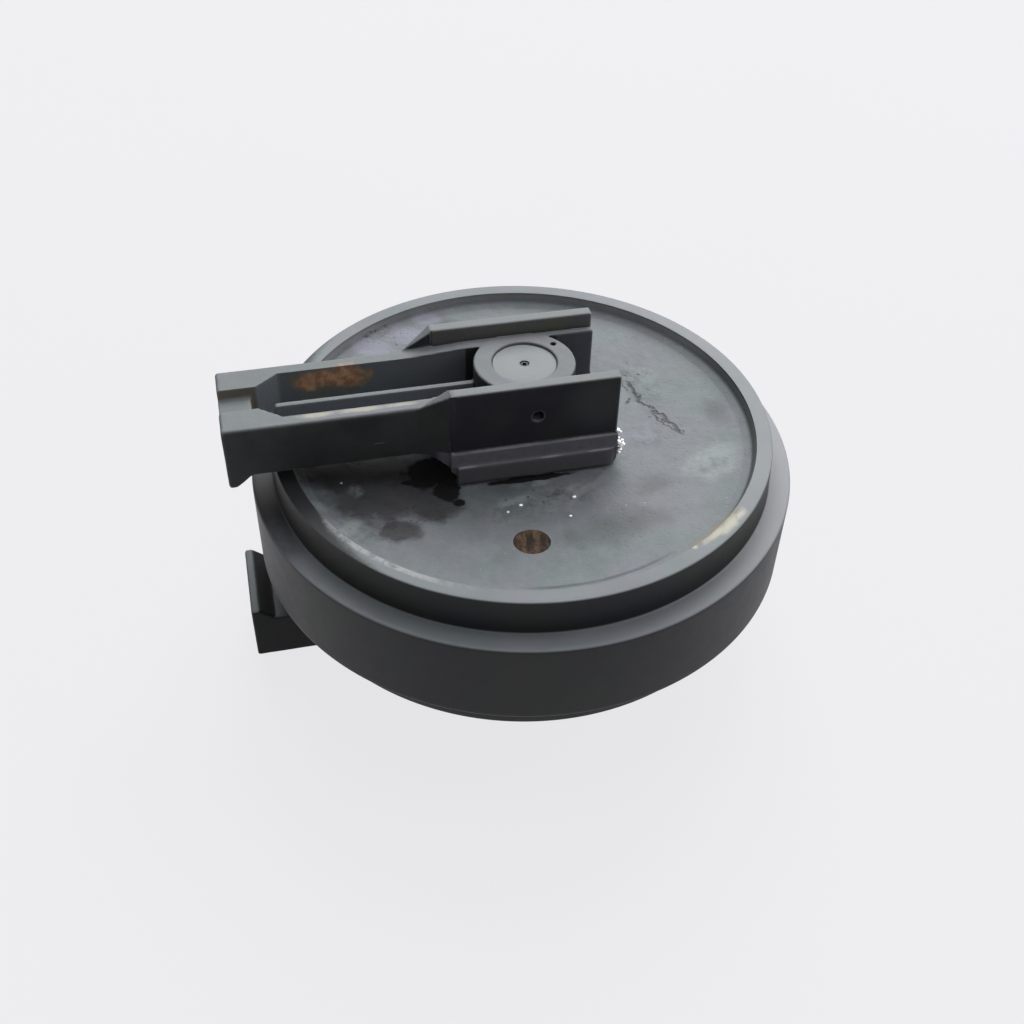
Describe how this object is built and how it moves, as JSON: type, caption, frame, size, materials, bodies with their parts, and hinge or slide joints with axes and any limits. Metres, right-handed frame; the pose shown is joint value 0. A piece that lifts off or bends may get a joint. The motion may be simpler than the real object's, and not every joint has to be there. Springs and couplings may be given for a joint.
{
  "type": "excavator front idler",
  "caption": "Track idler wheel with a centre flange, turning on a fixed axle between cast brackets whose arms point back to the recoil yoke.",
  "frame": {"origin": "centre of the axle's lower end face", "axes": "+Z along the wheel's axis, up as it lies in the picture; the bracket arms point to -X, towards the recoil yoke; +Y across the track"},
  "size_m": [0.5669, 0.5468, 0.3418],
  "materials": {
    "wheel_casting": "dark grey cast steel, rough on the webs and worn smooth on rim and flange",
    "bracket_casting": "dark grey cast steel with some rust in the pocket",
    "slide_plate": "dark grey rolled steel plate",
    "axle": "turned steel, thinly painted on its end face",
    "small_steel": "dark steel",
    "bronze": "machined bronze",
    "rusty_plug": "rusted steel",
    "seal_iron": "lapped iron",
    "seal_rubber": "black rubber"
  },
  "bodies": {
    "carrier": {"axle_shaft": "axle", "oil_plug": "small_steel", "upper_bracket": "bracket_casting", "lower_bracket": "bracket_casting", "upper_slide_plate_right": "slide_plate", "upper_slide_plate_left": "slide_plate", "lower_slide_plate_right": "slide_plate", "lower_slide_plate_left": "slide_plate", "upper_lock_pin": "small_steel", "lower_lock_pin": "small_steel", "upper_bracket_seal_ring": "seal_iron", "lower_bracket_seal_ring": "seal_iron", "upper_bracket_toric": "seal_rubber", "lower_bracket_toric": "seal_rubber", "upper_axle_o_ring": "seal_rubber", "lower_axle_o_ring": "seal_rubber"},
    "wheel": {"idler_wheel": "wheel_casting", "upper_core_plug_1": "rusty_plug", "upper_core_plug_2": "rusty_plug", "lower_core_plug_1": "rusty_plug", "lower_core_plug_2": "rusty_plug", "upper_bush": "bronze", "lower_bush": "bronze", "upper_wheel_seal_ring": "seal_iron", "lower_wheel_seal_ring": "seal_iron", "upper_wheel_toric": "seal_rubber", "lower_wheel_toric": "seal_rubber"}
  },
  "joints": [
    {"name": "wheel_spin", "type": "hinge", "parent": "carrier", "child": "wheel", "pos_m": [0, 0, 0.1548], "axis": [0, 0, 1], "continuous": true}
  ]
}
